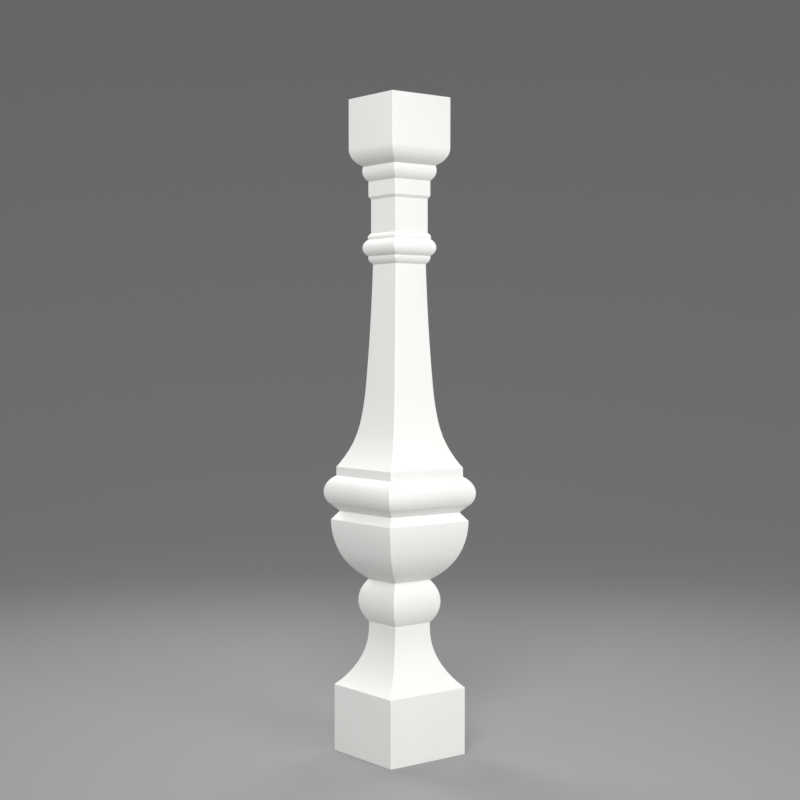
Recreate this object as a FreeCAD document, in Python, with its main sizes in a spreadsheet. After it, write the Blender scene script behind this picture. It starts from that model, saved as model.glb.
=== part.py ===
"""A stair baluster, cast in one piece and square in plan at every height.

Millimetres. The origin is the centre of the foot, +Z runs up the axis, and the flat sides face X and Y.
"""
import FreeCAD, Part
import math
import os

import Sketcher

# Driving sizes, from the foot up. A width is measured right across and a height along the axis. A projection,
# setback, undercut or depth is the step from one member to its neighbour, on one side.
SIZES = {
    # base block, and the cove that draws it in to the neck
    "base_width": 129.0,
    "base_height": 92.6,
    "cove_height": 80.4,
    "neck_width": 60.4,
    "neck_height": 8.7,
    # ball on the neck
    "ball_height": 59.2,
    "ball_projection": 10.5,
    # bowl: a round belly that turns up into a steep side
    "belly_height": 40.0,
    "bowl_side_height": 41.5,
    "bowl_side_radius": 125.0,
    "bowl_width": 135.8,
    # V groove between the bowl and the big torus
    "bowl_chamfer_height": 11.9,
    "groove_depth": 8.9,
    "torus_chamfer_height": 11.3,
    "torus_chamfer_projection": 11.3,
    # big torus, and the band on top of it
    "torus_height": 37.6,
    "torus_projection": 4.7,
    "band_setback": 12.6,
    "band_height": 12.1,
    # bell-shaped shaft: a short flare, a slower sweep, then a long hollow taper from the throat up
    "flare_height": 60.5,
    "sweep_height": 48.8,
    "sweep_radius": 485.0,
    "throat_width": 66.3,
    "taper_height": 169.3,
    "taper_radius": 3930.0,
    # collar: ovolo, fillet, torus and bead
    "collar_ovolo_height": 9.7,
    "collar_ovolo_projection": 4.7,
    "collar_fillet_height": 1.5,
    "collar_torus_height": 22.7,
    "collar_torus_projection": 5.6,
    "collar_bead_height": 8.4,
    "collar_bead_projection": 3.3,
    "collar_bead_undercut": 0.45,
    # upper neck, and the wider necking on top of it
    "upper_neck_width": 55.7,
    "upper_neck_height": 46.4,
    "necking_chamfer_height": 3.8,
    "necking_projection": 2.6,
    "necking_height": 20.8,
    # cap: bead, ovolo and top block
    "cap_bead_height": 20.5,
    "cap_bead_projection": 6.1,
    "cap_bead_undercut": 1.05,
    "cap_ovolo_height": 23.7,
    "cap_width": 99.5,
    "cap_height": 68.6,
}
SIDES = 4
FULL_TURN = 360

# The points of a line or an arc, and two fixed things that dimensions start from: the level of the foot and
# the point where the axis meets it.
START, END, CENTRE = 1, 2, 3
FOOT_LEVEL = -1
ORIGIN = (FOOT_LEVEL, START)


class Size:
    """A length, both as a number and as the formula of named sizes that gives it."""

    def __init__(self, value, formula):
        self.value = value
        self.formula = formula

    def __add__(self, other):
        return Size(self.value + other.value, f"{self.formula} + {other.formula}")

    def __sub__(self, other):
        return Size(self.value - other.value, f"{self.formula} - ({other.formula})")

    def half(self):
        return Size(self.value / 2, f"({self.formula}) / 2")


def size(name):
    return Size(SIZES[name], f"Sizes.{name}")


def widest(*members):
    return Size(max(m.value for m in members), f"max({'; '.join(m.formula for m in members)})")


def dimension(sketch, kind, *places, length):
    """Adds a dimension and ties it to its formula."""
    index = sketch.addConstraint(Sketcher.Constraint(kind, *places, length.value))
    sketch.setExpression(f"Constraints[{index}]", length.formula)


def relate(sketch, kind, *places):
    sketch.addConstraint(Sketcher.Constraint(kind, *places))


class Side:
    """The moulded side as one chain of lines and arcs, drawn upwards from the edge of the foot.

    In the sketch, x is the half-width and y the height. end is the chain's upper end so far.
    """

    def __init__(self, sketch, half_width):
        self.sketch = sketch
        self.start_width = half_width
        self.end = FreeCAD.Vector(half_width.value, 0)
        self.end_at = None
        self.foot_at = None
        self.height = None

    def add(self, shape, lower, upper, height, join="Coincident"):
        """Adds a line or an arc, whose ends are named lower and upper, on top of the chain."""
        index = self.sketch.addGeometry(shape)
        if self.end_at is None:
            dimension(self.sketch, "DistanceX", *ORIGIN, index, lower, length=self.start_width)
            relate(self.sketch, "PointOnObject", index, lower, FOOT_LEVEL)
            self.foot_at = (index, lower)
            self.height = height
        else:
            relate(self.sketch, join, *self.end_at, index, lower)
            self.height = self.height + height
        dimension(self.sketch, "DistanceY", index, lower, index, upper, length=height)
        self.end_at = (index, upper)
        return index

    def reach_out(self, half_width):
        """Holds the chain's end at a half-width."""
        dimension(self.sketch, "DistanceX", *ORIGIN, *self.end_at, length=half_width)

    def line(self, height, x):
        top = FreeCAD.Vector(x, self.end.y + height.value)
        index = self.add(Part.LineSegment(self.end, top), START, END, height)
        self.end = top
        return index

    def arc(self, height, x, centre, join="Coincident"):
        """An arc about a centre. It runs counterclockwise, so one that is hollow starts at its upper end."""
        top = FreeCAD.Vector(x, self.end.y + height.value)
        hollow = centre.x > max(self.end.x, x)
        first, last = (top, self.end) if hollow else (self.end, top)
        circle = Part.Circle(centre, FreeCAD.Vector(0, 0, 1), (top - centre).Length)
        shape = Part.ArcOfCircle(circle, circle.parameter(first), circle.parameter(last))
        lower, upper = (END, START) if hollow else (START, END)
        index = self.add(shape, lower, upper, height, join)
        self.end = top
        return index

    def upright(self, height):
        index = self.line(height, self.end.x)
        relate(self.sketch, "Vertical", index)

    def chamfer(self, height, half_width):
        self.line(height, half_width.value)
        self.reach_out(half_width)

    def quarter(self, height, half_width):
        """A cove or an ovolo: an arc that is upright at its upper end."""
        step = half_width.value - self.end.x
        radius = (height.value ** 2 + step ** 2) / (2 * step)
        centre = FreeCAD.Vector(half_width.value - radius, self.end.y + height.value)
        index = self.arc(height, half_width.value, centre)
        self.reach_out(half_width)
        relate(self.sketch, "Horizontal", index, CENTRE, *self.end_at)

    def bulge(self, height, half_width, crown):
        """A torus or a bead: an arc that is widest at the crown, between its ends."""
        below = crown.value - self.end.x
        above = crown.value - half_width.value
        rise = height.value
        balance = below + below * above * (above - below) / rise ** 2
        share = balance / (below + math.sqrt(below ** 2 + (above - below) * balance))
        radius = ((share * rise) ** 2 + below ** 2) / (2 * below)
        centre = FreeCAD.Vector(crown.value - radius, self.end.y + share * rise)
        index = self.arc(height, half_width.value, centre)
        self.reach_out(half_width)
        crown_point = self.sketch.addGeometry(Part.Point(FreeCAD.Vector(crown.value, centre.y)), True)
        relate(self.sketch, "PointOnObject", crown_point, START, index)
        relate(self.sketch, "Horizontal", index, CENTRE, crown_point, START)
        dimension(self.sketch, "DistanceX", *ORIGIN, crown_point, START, length=crown)

    def bowl(self, belly_height, side_height, side_radius, half_width):
        """Two arcs that flow into each other: the belly, and a side that is upright at the rim."""
        rim = FreeCAD.Vector(half_width.value, self.end.y + belly_height.value + side_height.value)
        radius = side_radius.value
        side_centre = rim - FreeCAD.Vector(radius, 0)
        inset = radius - math.sqrt(radius ** 2 - side_height.value ** 2)
        joint = rim - FreeCAD.Vector(inset, side_height.value)
        self.arc(belly_height, joint.x, flowing_centre(joint, side_centre, self.end))
        side = self.arc(side_height, rim.x, side_centre, join="Tangent")
        self.reach_out(half_width)
        relate(self.sketch, "Horizontal", side, CENTRE, *self.end_at)
        dimension(self.sketch, "Radius", side, length=side_radius)

    def bell(self, flare_height, sweep_height, sweep_radius, throat, taper_height, taper_radius, half_width):
        """Three hollow arcs that flow into each other: the flare, the sweep and the long taper."""
        joint_height = self.end.y + flare_height.value
        throat_end = FreeCAD.Vector(throat.value, joint_height + sweep_height.value)
        top = FreeCAD.Vector(half_width.value, throat_end.y + taper_height.value)
        chord = top - throat_end
        outward = FreeCAD.Vector(chord.y, -chord.x).normalize()
        depth = math.sqrt(taper_radius.value ** 2 - (chord.Length / 2) ** 2)
        taper_centre = (throat_end + top) / 2 + outward * depth
        radius = sweep_radius.value
        sweep_centre = throat_end + (taper_centre - throat_end).normalize() * radius
        reach = math.sqrt(radius ** 2 - (sweep_centre.y - joint_height) ** 2)
        joint = FreeCAD.Vector(sweep_centre.x - reach, joint_height)
        self.arc(flare_height, joint.x, flowing_centre(joint, sweep_centre, self.end))
        sweep = self.arc(sweep_height, throat_end.x, sweep_centre, join="Tangent")
        self.reach_out(throat)
        dimension(self.sketch, "Radius", sweep, length=sweep_radius)
        taper = self.arc(taper_height, top.x, taper_centre, join="Tangent")
        self.reach_out(half_width)
        dimension(self.sketch, "Radius", taper, length=taper_radius)

    def close_round_waste(self, half_width):
        """Closes the outline at a half-width beyond the moulded side, round the waste to cut away."""
        foot = FreeCAD.Vector(self.start_width.value, 0)
        outer_top = FreeCAD.Vector(half_width.value, self.end.y)
        outer_foot = FreeCAD.Vector(half_width.value, 0)
        top = self.sketch.addGeometry(Part.LineSegment(self.end, outer_top))
        outer = self.sketch.addGeometry(Part.LineSegment(outer_top, outer_foot))
        bottom = self.sketch.addGeometry(Part.LineSegment(outer_foot, foot))
        relate(self.sketch, "Coincident", *self.end_at, top, START)
        relate(self.sketch, "Coincident", top, END, outer, START)
        relate(self.sketch, "Coincident", outer, END, bottom, START)
        relate(self.sketch, "Coincident", bottom, END, *self.foot_at)
        relate(self.sketch, "Horizontal", top)
        relate(self.sketch, "Vertical", outer)
        relate(self.sketch, "Horizontal", bottom)
        dimension(self.sketch, "DistanceX", *ORIGIN, outer, START, length=half_width)


def flowing_centre(joint, neighbour_centre, far_end):
    """The centre of the arc that flows out of a neighbour at their joint and ends at far_end."""
    normal = (neighbour_centre - joint).normalize()
    chord = far_end - joint
    return joint + normal * (chord.Length ** 2 / (2 * chord.dot(normal)))


def origin_feature(body, role):
    return next(feature for feature in body.Origin.OriginFeatures if feature.Role == role)


def new_sketch(body, name, plane):
    sketch = body.newObject("Sketcher::SketchObject", name)
    sketch.AttachmentSupport = (origin_feature(body, plane), "")
    sketch.MapMode = "FlatFace"
    return sketch


def draw_side(sketch):
    """The mouldings of one side, from the foot up. Returns the overall height and the blank's half-width."""
    base = size("base_width").half()
    neck = size("neck_width").half()
    bowl = size("bowl_width").half()
    groove = bowl - size("groove_depth")
    crease = groove + size("torus_chamfer_projection")
    torus = crease + size("torus_projection")
    band = torus - size("band_setback")
    throat = size("throat_width").half()
    upper_neck = size("upper_neck_width").half()
    collar_bead = upper_neck + size("collar_bead_projection")
    collar = collar_bead - size("collar_bead_undercut")
    shaft_top = collar - size("collar_ovolo_projection")
    necking = upper_neck + size("necking_projection")
    cap_bead = necking + size("cap_bead_projection")
    quirk = cap_bead - size("cap_bead_undercut")
    cap = size("cap_width").half()

    side = Side(sketch, base)
    side.upright(size("base_height"))
    side.quarter(size("cove_height"), neck)
    side.upright(size("neck_height"))
    side.bulge(size("ball_height"), neck, neck + size("ball_projection"))
    side.bowl(size("belly_height"), size("bowl_side_height"), size("bowl_side_radius"), bowl)
    side.chamfer(size("bowl_chamfer_height"), groove)
    side.chamfer(size("torus_chamfer_height"), crease)
    side.bulge(size("torus_height"), band, torus)
    side.upright(size("band_height"))
    side.bell(
        size("flare_height"),
        size("sweep_height"),
        size("sweep_radius"),
        throat,
        size("taper_height"),
        size("taper_radius"),
        shaft_top,
    )
    side.quarter(size("collar_ovolo_height"), collar)
    side.upright(size("collar_fillet_height"))
    side.bulge(size("collar_torus_height"), collar, collar + size("collar_torus_projection"))
    side.bulge(size("collar_bead_height"), upper_neck, collar_bead)
    side.upright(size("upper_neck_height"))
    side.chamfer(size("necking_chamfer_height"), necking)
    side.upright(size("necking_height"))
    side.bulge(size("cap_bead_height"), quirk, cap_bead)
    side.quarter(size("cap_ovolo_height"), cap)
    side.upright(size("cap_height"))

    # The blank clears the widest member all round, so every cut runs out in waste.
    blank = widest(base, bowl, torus, cap) + size("torus_projection")
    side.close_round_waste(blank)
    return side.height, blank


def draw_square(sketch, half_width):
    """A square about the origin."""
    x = half_width.value
    corners = [FreeCAD.Vector(*c) for c in ((-x, -x), (x, -x), (x, x), (-x, x))]
    edges = [sketch.addGeometry(Part.LineSegment(a, b)) for a, b in zip(corners, corners[1:] + corners[:1])]
    for edge, following in zip(edges, edges[1:] + edges[:1]):
        relate(sketch, "Coincident", edge, END, following, START)
    for edge, kind in zip(edges, ("Horizontal", "Vertical") * 2):
        relate(sketch, kind, edge)
    near_corner, far_corner = (edges[0], START), (edges[2], START)
    relate(sketch, "Symmetric", *near_corner, *far_corner, *ORIGIN)
    dimension(sketch, "DistanceX", *ORIGIN, *far_corner, length=half_width)
    dimension(sketch, "DistanceY", *ORIGIN, *far_corner, length=half_width)


def make_sheet(doc):
    sheet = doc.addObject("Spreadsheet::Sheet", "Sizes")
    for row, (name, value) in enumerate(SIZES.items(), start=1):
        sheet.set(f"A{row}", name)
        sheet.set(f"B{row}", str(value))
        sheet.setAlias(f"B{row}", name)
    doc.recompute()


def make_baluster(doc):
    """A square blank with the same moulded side cut on all four faces, so the mouldings mitre."""
    body = doc.addObject("PartDesign::Body", "Baluster")
    body.Label = "baluster"

    side_sketch = new_sketch(body, "SideProfile", "XZ_Plane")
    overall_height, blank_half = draw_side(side_sketch)
    square_sketch = new_sketch(body, "BlankSquare", "XY_Plane")
    draw_square(square_sketch, blank_half)

    blank = body.newObject("PartDesign::Pad", "Blank")
    blank.Profile = square_sketch
    blank.setExpression("Length", overall_height.formula)

    cut = body.newObject("PartDesign::Pocket", "SideCut")
    cut.Profile = side_sketch
    cut.SideType = "Symmetric"
    cut.Type = "ThroughAll"

    all_sides = body.newObject("PartDesign::PolarPattern", "AllSides")
    all_sides.Originals = [cut]
    all_sides.Axis = (origin_feature(body, "Z_Axis"), [""])
    all_sides.Angle = FULL_TURN
    all_sides.Occurrences = SIDES
    body.Tip = all_sides
    doc.recompute()

    if not blank.Shape.Volume > cut.Shape.Volume > all_sides.Shape.Volume:
        raise RuntimeError("a side was not cut")
    return body


def check(doc, body):
    for item in doc.Objects:
        if "Invalid" in item.State or "Error" in item.State:
            raise RuntimeError(f"{item.Label} failed: {item.State}")
        if item.isDerivedFrom("Sketcher::SketchObject") and not item.FullyConstrained:
            raise RuntimeError(f"{item.Label} is not fully held")
    if body.Shape.isNull() or not body.Shape.isValid() or len(body.Shape.Solids) != 1:
        raise RuntimeError(f"{body.Label} is not one sound solid")


doc = FreeCAD.newDocument("StairBaluster")
make_sheet(doc)
baluster = make_baluster(doc)
check(doc, baluster)
os.makedirs("parts", exist_ok=True)
baluster.Shape.exportStep(f"parts/{baluster.Label}.step")
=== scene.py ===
# Looks of a white moulded stair baluster, square in plan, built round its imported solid.
# Metres throughout, +Z up, origin at the middle of the foot.
import math

import bmesh
import bpy
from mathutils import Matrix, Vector


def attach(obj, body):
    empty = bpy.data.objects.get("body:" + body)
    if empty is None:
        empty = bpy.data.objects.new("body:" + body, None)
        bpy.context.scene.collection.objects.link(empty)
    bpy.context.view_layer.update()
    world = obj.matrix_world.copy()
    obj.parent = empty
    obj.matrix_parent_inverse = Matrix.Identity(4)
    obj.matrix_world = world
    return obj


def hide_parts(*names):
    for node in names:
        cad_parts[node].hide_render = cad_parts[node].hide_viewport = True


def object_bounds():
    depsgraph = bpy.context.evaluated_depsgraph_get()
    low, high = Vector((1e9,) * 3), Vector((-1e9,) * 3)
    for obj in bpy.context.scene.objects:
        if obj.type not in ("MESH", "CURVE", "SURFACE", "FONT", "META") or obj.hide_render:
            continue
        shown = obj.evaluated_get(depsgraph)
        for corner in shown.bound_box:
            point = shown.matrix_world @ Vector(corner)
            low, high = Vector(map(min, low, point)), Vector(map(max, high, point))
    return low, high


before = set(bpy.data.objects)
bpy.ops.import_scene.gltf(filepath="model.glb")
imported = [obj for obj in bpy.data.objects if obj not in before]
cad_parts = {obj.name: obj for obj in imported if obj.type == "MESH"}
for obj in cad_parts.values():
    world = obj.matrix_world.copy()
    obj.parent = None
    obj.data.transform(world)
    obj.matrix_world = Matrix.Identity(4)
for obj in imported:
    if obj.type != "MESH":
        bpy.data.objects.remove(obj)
cad_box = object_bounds()

MM = 0.001

# Edges of the moulding
CREASE_CUT = 0.35 * MM          # how far a crease between two members is cut back along each of them
CREASE_STEPS = 2
RIM_CUT = 0.8 * MM              # the same for the edge round the foot and round the top
RIM_STEPS = 3
ARRIS_RADIUS = 0.9 * MM         # the four upright corners
ARRIS_STEPS = 3
SHARPEST_CURVE_STEP = math.radians(12)   # facets that turn by more than this meet in a crease
END_FACE_INSET = 0.6            # share of the half width that the foot and top faces reach in from the rim
CURVE_SMOOTHING = 2             # times that each facet of a round member is halved
SMOOTH_SHADING_ANGLE = math.radians(35)
SIDES = 4
SAME_POINT = 0.01 * MM          # points closer than this count as one
LEAST_RISE = 0.001 * MM         # an edge that rises by less than this lies flat

# White coat
COAT_WHITE = (0.905, 0.896, 0.878, 1.0)
THIN_COAT_WHITE = (0.885, 0.874, 0.852, 1.0)
PORE_SHADE = (0.70, 0.68, 0.65, 1.0)
CLOUD_SIZE = 75 * MM
CLOUD_DETAIL = 3
WAVE_SIZE = 4.5 * MM
WAVE_DETAIL = 1
WAVE_DEPTH = 0.16 * MM
STIPPLE_SIZE = 1.3 * MM
STIPPLE_DETAIL = 2
STIPPLE_DEPTH = 0.08 * MM
LUMP_RANGE = (0.3, 0.7)         # where most of the lumps' values lie
PORE_RANGE = (0.64, 0.74)
PORE_STRENGTH = 0.5
COAT_ROUGHNESS = (0.44, 0.56)

# Floor paper
FLOOR_GREY = (0.35, 0.35, 0.35, 1.0)
FLOOR_ROUGHNESS = 0.9
FLOOR_GLOSS = 0.1

# Studio
FLOOR_RADIUS = 2.4
FLOOR_STEPS = 96
SWEEP_RADIUS = 5.0              # of the curve that carries the floor up into a wall
SWEEP_ANGLE = math.radians(65)
SWEEP_STEPS = 24
ROOM_WHITE = (1.0, 1.0, 1.0, 1.0)
ROOM_GLOW = 0.44
LIGHT_SIZE = 1.2
LIGHT_SPREAD = math.radians(80)
LIGHTS = {                      # with the azimuths in degrees
    "key_light": {"azimuth": -45, "distance": 2.0, "height": 1.5, "aim_height": 0.6, "watts": 9.0},
    "low_fill": {"azimuth": 5, "distance": 2.2, "height": 0.8, "aim_height": 0.2, "watts": 3.2},
    "right_back_fill": {"azimuth": 110, "distance": 2.0, "height": 1.5, "aim_height": 0.5, "watts": 2.4},
    "left_back_fill": {"azimuth": 180, "distance": 2.0, "height": 1.5, "aim_height": 0.5, "watts": 4.6},
}

# Camera, worked out from the edges of the base block and the top block
CAMERA_AZIMUTH = math.radians(-37.94)
CAMERA_DISTANCE = 2.096
CAMERA_HEIGHT = 0.5605
CAMERA_AIM_HEIGHT = 0.488
CAMERA_AIM_SIDE = 0.0009
CAMERA_LENS = 68.68
SENSOR_WIDTH = 36.0


# Selecting in edit mode

def edit(piece):
    """Opens one object alone in edit mode."""
    bpy.ops.object.select_all(action="DESELECT")
    bpy.context.view_layer.objects.active = piece
    piece.select_set(True)
    bpy.ops.object.mode_set(mode="EDIT")


def leave_edit():
    bpy.ops.object.mode_set(mode="OBJECT")


def pick_points(piece, wanted):
    """Selects the points that wanted() accepts, and nothing else."""
    bpy.ops.mesh.select_mode(type="VERT")
    bpy.ops.mesh.select_all(action="DESELECT")
    mesh = bmesh.from_edit_mesh(piece.data)
    for point in mesh.verts:
        point.select_set(wanted(point))
    mesh.select_flush_mode()
    bmesh.update_edit_mesh(piece.data)


def pick_edges(piece, wanted):
    """Selects the edges that wanted() accepts, and nothing else."""
    bpy.ops.mesh.select_mode(type="EDGE")
    bpy.ops.mesh.select_all(action="DESELECT")
    mesh = bmesh.from_edit_mesh(piece.data)
    for edge in mesh.edges:
        edge.select_set(wanted(edge))
    mesh.select_flush_mode()
    bmesh.update_edit_mesh(piece.data)


# The baluster

def on_near_corner(point):
    """A point of the corner where the sides that face -X and -Y meet."""
    return point.co.x < 0 and abs(point.co.x - point.co.y) < SAME_POINT


def is_end(point):
    return len(point.link_edges) == 1


def turn_at(point):
    """The angle by which the side profile turns at a point of the corner line."""
    if is_end(point):
        return 0.0
    lower, upper = sorted((edge.other_vert(point).co for edge in point.link_edges), key=lambda place: place.z)
    coming = Vector((point.co.x - lower.x, point.co.z - lower.z))
    going = Vector((upper.x - point.co.x, upper.z - point.co.z))
    return coming.angle(going)


def is_crease(point):
    return turn_at(point) > SHARPEST_CURVE_STEP


def corner_line(solid, name):
    """A new piece that is the one corner line of the solid: the side profile, seen across the corner."""
    line = bpy.data.objects.new(name, solid.data.copy())
    bpy.context.scene.collection.objects.link(line)
    line.data.materials.clear()
    edit(line)
    bpy.ops.mesh.select_all(action="SELECT")
    bpy.ops.mesh.remove_doubles(threshold=SAME_POINT)
    pick_points(line, lambda point: not on_near_corner(point))
    bpy.ops.mesh.delete(type="VERT")
    leave_edit()
    return line


def soften_creases(line):
    """Rounds the creases between the members a little, as a mould leaves them."""
    edit(line)
    pick_points(line, is_crease)
    bpy.ops.mesh.bevel(offset=CREASE_CUT, segments=CREASE_STEPS, affect="VERTICES", clamp_overlap=False)
    leave_edit()


def lead_in_ends(line):
    """Carries both ends of the corner line inwards over the foot and the top, and rounds the two rims."""
    levels = [point.co.z for point in line.data.vertices]
    for level in (min(levels), max(levels)):
        edit(line)
        pick_points(line, lambda point: abs(point.co.z - level) < SAME_POINT)
        rim = next(point.co.copy() for point in bmesh.from_edit_mesh(line.data).verts if point.select)
        inwards = Vector((-rim.x, -rim.y, 0)) * END_FACE_INSET
        bpy.ops.mesh.extrude_region_move(TRANSFORM_OT_translate={"value": inwards})
        pick_points(line, lambda point: (point.co - rim).length < SAME_POINT)
        bpy.ops.mesh.bevel(offset=RIM_CUT, segments=RIM_STEPS, affect="VERTICES", clamp_overlap=False)
        leave_edit()


def turn_four_sides(line):
    """Turns the corner line about the upright axis in four steps, which gives four mitred sides."""
    edit(line)
    bpy.ops.mesh.select_all(action="SELECT")
    bpy.ops.mesh.spin(steps=SIDES, angle=2 * math.pi, center=(0, 0, 0), axis=(0, 0, 1))
    bpy.ops.mesh.select_all(action="SELECT")
    bpy.ops.mesh.remove_doubles(threshold=SAME_POINT)
    for end in (cad_box[0].z, cad_box[1].z):
        pick_edges(line, lambda edge: edge.is_boundary
                   and all(abs(point.co.z - end) < SAME_POINT for point in edge.verts))
        bpy.ops.mesh.edge_face_add()
    bpy.ops.mesh.select_all(action="SELECT")
    bpy.ops.mesh.normals_make_consistent(inside=False)
    leave_edit()


def on_corner(edge):
    """An edge that follows one of the four corners, also where that crosses the foot or the top."""
    first, second = edge.verts
    same_corner = first.co.x * second.co.x > 0 and first.co.y * second.co.y > 0
    return same_corner and all(abs(abs(point.co.x) - abs(point.co.y)) < SAME_POINT for point in edge.verts)


def is_arris(edge):
    """An edge that runs up one of the four corners."""
    first, second = edge.verts
    return on_corner(edge) and abs(first.co.z - second.co.z) > LEAST_RISE


def smooth_curves(piece):
    """Halves the facets of the round members, with the four corners kept sharp."""
    edit(piece)
    pick_edges(piece, on_corner)
    bpy.ops.transform.edge_crease(value=1)
    leave_edit()
    halving = piece.modifiers.new("curve_smoothing", "SUBSURF")
    halving.levels = CURVE_SMOOTHING
    halving.render_levels = CURVE_SMOOTHING
    bpy.ops.object.modifier_apply(modifier=halving.name)


def round_arrises(piece):
    """Rounds the four corners, and lets each flat keep its own direction up to the rounding."""
    edit(piece)
    pick_edges(piece, is_arris)
    bpy.ops.mesh.bevel(offset=ARRIS_RADIUS, segments=ARRIS_STEPS, affect="EDGES", clamp_overlap=False)
    leave_edit()
    bpy.ops.object.shade_smooth_by_angle(angle=SMOOTH_SHADING_ANGLE)
    flats = piece.modifiers.new("flat_sides", "WEIGHTED_NORMAL")
    flats.keep_sharp = True
    bpy.ops.object.modifier_apply(modifier=flats.name)


def make_baluster():
    piece = corner_line(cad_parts["baluster"], "moulded_baluster")
    soften_creases(piece)
    lead_in_ends(piece)
    turn_four_sides(piece)
    smooth_curves(piece)
    round_arrises(piece)
    return piece


# Materials

def new_material(name):
    material = bpy.data.materials.new(name)
    material.use_nodes = True
    return material


def lumps(tree, place, size, detail):
    """Soft irregular lumps about as wide as size, from 0 to 1."""
    noise = tree.nodes.new("ShaderNodeTexNoise")
    noise.inputs["Scale"].default_value = 1 / size
    noise.inputs["Detail"].default_value = detail
    tree.links.new(place.outputs["Object"], noise.inputs["Vector"])
    return noise.outputs["Fac"]


def spread(tree, value, from_range, to_range):
    """Carries a value from one range to another, and holds it there."""
    step = tree.nodes.new("ShaderNodeMapRange")
    step.inputs["From Min"].default_value, step.inputs["From Max"].default_value = from_range
    step.inputs["To Min"].default_value, step.inputs["To Max"].default_value = to_range
    tree.links.new(value, step.inputs["Value"])
    return step.outputs["Result"]


def shade(tree, share, first, second):
    """A colour between two others. Each is a colour, or another node's colour."""
    mix = tree.nodes.new("ShaderNodeMix")
    mix.data_type = "RGBA"
    tree.links.new(share, mix.inputs["Factor"])
    for socket, colour in ((mix.inputs["A"], first), (mix.inputs["B"], second)):
        if isinstance(colour, tuple):
            socket.default_value = colour
        else:
            tree.links.new(colour, socket)
    return mix.outputs["Result"]


def relief(tree, height, depth, under=None):
    """Raises a height over the surface, or over another relief."""
    bump = tree.nodes.new("ShaderNodeBump")
    bump.inputs["Distance"].default_value = depth
    tree.links.new(height, bump.inputs["Height"])
    if under is not None:
        tree.links.new(under, bump.inputs["Normal"])
    return bump.outputs["Normal"]


def white_casting():
    """The sprayed white coat: cloudy by a hair, with a fine stipple, slight waves and a few pores."""
    material = new_material("white_casting")
    tree = material.node_tree
    shader = tree.nodes["Principled BSDF"]
    place = tree.nodes.new("ShaderNodeTexCoord")
    cloud = lumps(tree, place, CLOUD_SIZE, CLOUD_DETAIL)
    wave = lumps(tree, place, WAVE_SIZE, WAVE_DETAIL)
    stipple = lumps(tree, place, STIPPLE_SIZE, STIPPLE_DETAIL)
    thin_coat = spread(tree, cloud, LUMP_RANGE, (0, 1))
    pores = spread(tree, stipple, PORE_RANGE, (0, PORE_STRENGTH))
    coat = shade(tree, thin_coat, COAT_WHITE, THIN_COAT_WHITE)
    coat = shade(tree, pores, coat, PORE_SHADE)
    roughness = spread(tree, wave, LUMP_RANGE, COAT_ROUGHNESS)
    waves = relief(tree, wave, WAVE_DEPTH)
    stippled_waves = relief(tree, stipple, STIPPLE_DEPTH, waves)
    tree.links.new(coat, shader.inputs["Base Color"])
    tree.links.new(roughness, shader.inputs["Roughness"])
    tree.links.new(stippled_waves, shader.inputs["Normal"])
    return material


def floor_paper():
    material = new_material("floor_paper")
    shader = material.node_tree.nodes["Principled BSDF"]
    shader.inputs["Base Color"].default_value = FLOOR_GREY
    shader.inputs["Roughness"].default_value = FLOOR_ROUGHNESS
    shader.inputs["Specular IOR Level"].default_value = FLOOR_GLOSS
    return material


# Studio

def sweep_edge(step):
    """The radius and the height of the floor's edge after some steps of its sweep up into the wall."""
    angle = SWEEP_ANGLE * step / SWEEP_STEPS
    return FLOOR_RADIUS + SWEEP_RADIUS * math.sin(angle), SWEEP_RADIUS * (1 - math.cos(angle))


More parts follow.
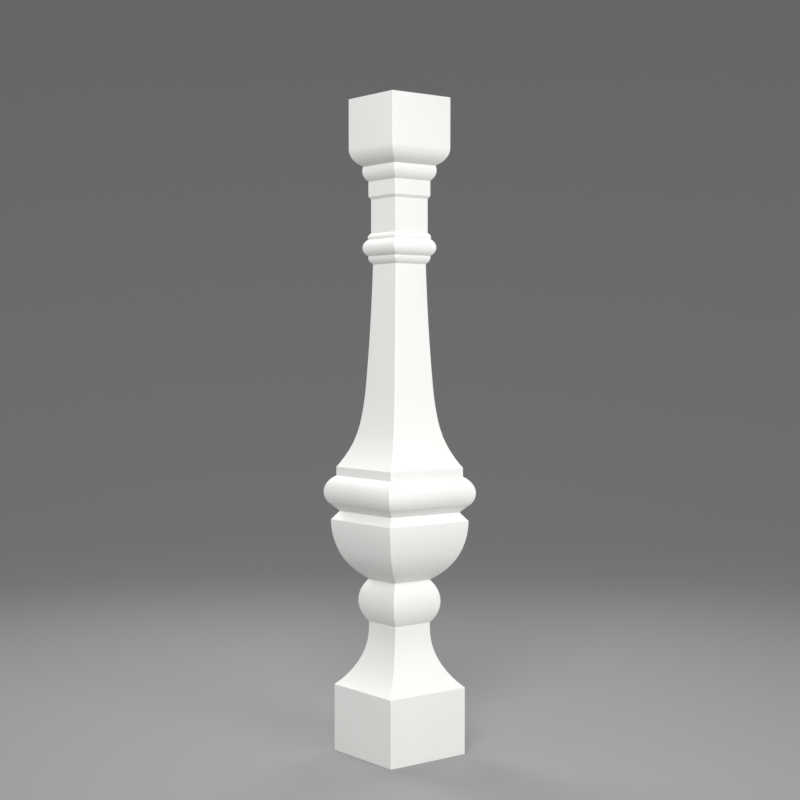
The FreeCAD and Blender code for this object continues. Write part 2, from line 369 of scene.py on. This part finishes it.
def make_floor():
    """A round floor whose edge sweeps up into a wall all the way round."""
    bpy.ops.object.select_all(action="DESELECT")
    bpy.ops.mesh.primitive_circle_add(vertices=FLOOR_STEPS, radius=FLOOR_RADIUS, fill_type="NGON")
    floor = bpy.context.object
    floor.name = "studio_floor"
    edit(floor)
    pick_edges(floor, lambda edge: edge.is_boundary)
    for step in range(SWEEP_STEPS):
        radius, height = sweep_edge(step)
        next_radius, next_height = sweep_edge(step + 1)
        growth = next_radius / radius
        bpy.ops.mesh.extrude_edges_move(TRANSFORM_OT_translate={"value": (0, 0, next_height - height)})
        bpy.ops.transform.resize(value=(growth, growth, 1), center_override=(0, 0, 0))
    leave_edit()
    bpy.ops.object.shade_smooth_by_angle(angle=SMOOTH_SHADING_ANGLE)
    floor.data.materials.append(floor_paper())


def around(azimuth, distance, height):
    """A place at an azimuth round the baluster: 0 looks along +Y, with +X to the right."""
    return Vector((math.sin(azimuth) * distance, -math.cos(azimuth) * distance, height))


def aim(thing, target):
    thing.rotation_euler = (target - thing.location).to_track_quat("-Z", "Y").to_euler()


def make_light(name, azimuth, distance, height, aim_height, watts):
    """A soft round light, aimed at the baluster and out of the camera's sight."""
    lamp = bpy.data.lights.new(name, "AREA")
    lamp.shape = "DISK"
    lamp.size = LIGHT_SIZE
    lamp.spread = LIGHT_SPREAD
    lamp.energy = watts
    light = bpy.data.objects.new(name, lamp)
    bpy.context.scene.collection.objects.link(light)
    light.location = around(math.radians(azimuth), distance, height)
    aim(light, Vector((0, 0, aim_height)))
    light.visible_camera = False


def make_room_glow():
    """The white glow of the room, the same from all sides."""
    world = bpy.data.worlds.new("room_glow")
    world.use_nodes = True
    glow = world.node_tree.nodes["Background"]
    glow.inputs["Color"].default_value = ROOM_WHITE
    glow.inputs["Strength"].default_value = ROOM_GLOW
    bpy.context.scene.world = world


def make_studio():
    make_floor()
    for name, setting in LIGHTS.items():
        make_light(name, **setting)
    make_room_glow()
    bpy.context.scene.view_settings.view_transform = "Standard"


def make_camera():
    data = bpy.data.cameras.new("camera")
    data.sensor_width = SENSOR_WIDTH
    data.lens = CAMERA_LENS
    camera = bpy.data.objects.new("camera", data)
    bpy.context.scene.collection.objects.link(camera)
    camera.location = around(CAMERA_AZIMUTH, CAMERA_DISTANCE, CAMERA_HEIGHT)
    to_the_right = CAMERA_AZIMUTH + math.pi / 2
    aim(camera, around(to_the_right, CAMERA_AIM_SIDE, CAMERA_AIM_HEIGHT))
    bpy.context.scene.camera = camera


baluster = make_baluster()
baluster.data.materials.append(white_casting())
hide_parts("baluster")
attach(baluster, "root")
make_studio()
make_camera()
